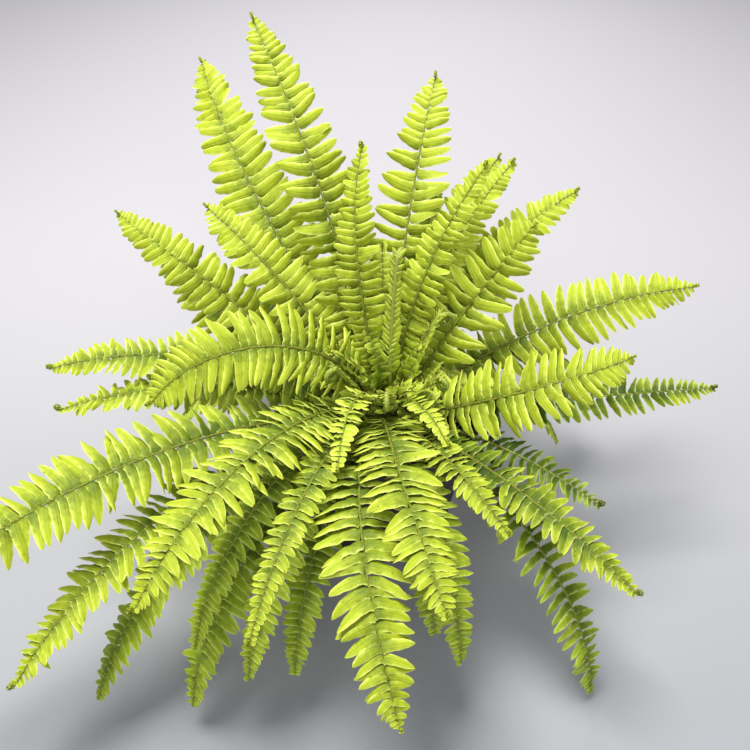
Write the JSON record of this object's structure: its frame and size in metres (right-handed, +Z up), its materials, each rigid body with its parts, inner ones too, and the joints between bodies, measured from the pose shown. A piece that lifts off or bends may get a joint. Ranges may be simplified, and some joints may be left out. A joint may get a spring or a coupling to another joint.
{
  "type": "potted fern",
  "caption": "Living sword fern whose long feathered fronds arch out all round from one crown, planted in a round tapered pot with a collar and a drained floor.",
  "frame": {"origin": "middle of the pot's foot, on the surface that it stands on", "axes": "+Z up along the pot's axis, +Y towards the back of the plant, +X to the plant's right as seen from the front"},
  "size_m": [0.4582, 0.419, 0.302],
  "materials": {
    "pot_plastic": "matt recycled plastic, slightly dusty",
    "potting_soil": "damp, crumbly and fibrous",
    "rootstock": "rough, with brown scales and hairs",
    "frond_leaf": "living leaf, satin, yellow-green",
    "old_frond_leaf": "older living leaf, satin, mid green",
    "young_frond_leaf": "young living leaf, satin, pale yellow-green",
    "crozier_stalk": "pale green stalk under brown scales"
  },
  "bodies": {
    "root": {"pot": "pot_plastic", "soil": "potting_soil", "crown": "rootstock", "frond_arching_01": "frond_leaf", "frond_arching_02": "frond_leaf", "frond_arching_03": "frond_leaf", "frond_arching_04": "frond_leaf", "frond_arching_05": "frond_leaf", "frond_arching_06": "frond_leaf", "frond_arching_07": "frond_leaf", "frond_arching_08": "frond_leaf", "frond_arching_09": "frond_leaf", "frond_arching_10": "frond_leaf", "frond_young_01": "young_frond_leaf", "frond_young_02": "young_frond_leaf", "frond_young_03": "young_frond_leaf", "frond_young_04": "young_frond_leaf", "frond_young_05": "young_frond_leaf", "frond_upright_01": "frond_leaf", "frond_upright_02": "frond_leaf", "frond_upright_03": "frond_leaf", "frond_upright_04": "frond_leaf", "frond_upright_05": "frond_leaf", "frond_upright_06": "frond_leaf", "frond_upright_07": "frond_leaf", "frond_upright_08": "frond_leaf", "frond_upright_09": "frond_leaf", "frond_spreading_01": "frond_leaf", "frond_spreading_02": "frond_leaf", "frond_spreading_03": "frond_leaf", "frond_spreading_04": "frond_leaf", "frond_spreading_05": "frond_leaf", "frond_spreading_06": "frond_leaf", "frond_spreading_07": "frond_leaf", "frond_spreading_08": "frond_leaf", "frond_spreading_09": "frond_leaf", "frond_spreading_10": "frond_leaf", "frond_hanging_01": "old_frond_leaf", "frond_hanging_02": "old_frond_leaf", "frond_hanging_03": "old_frond_leaf", "frond_hanging_04": "old_frond_leaf", "frond_hanging_05": "old_frond_leaf", "frond_hanging_06": "old_frond_leaf", "frond_hanging_07": "old_frond_leaf", "frond_hanging_08": "old_frond_leaf", "frond_hanging_09": "old_frond_leaf", "frond_hanging_10": "old_frond_leaf", "frond_hanging_11": "old_frond_leaf", "frond_hanging_12": "old_frond_leaf", "frond_hanging_13": "old_frond_leaf", "frond_hanging_14": "old_frond_leaf", "frond_hanging_15": "old_frond_leaf", "crozier_01": "crozier_stalk", "crozier_02": "crozier_stalk", "crozier_03": "crozier_stalk", "crozier_04": "crozier_stalk", "crozier_05": "crozier_stalk", "crozier_06": "crozier_stalk"}
  },
  "joints": []
}
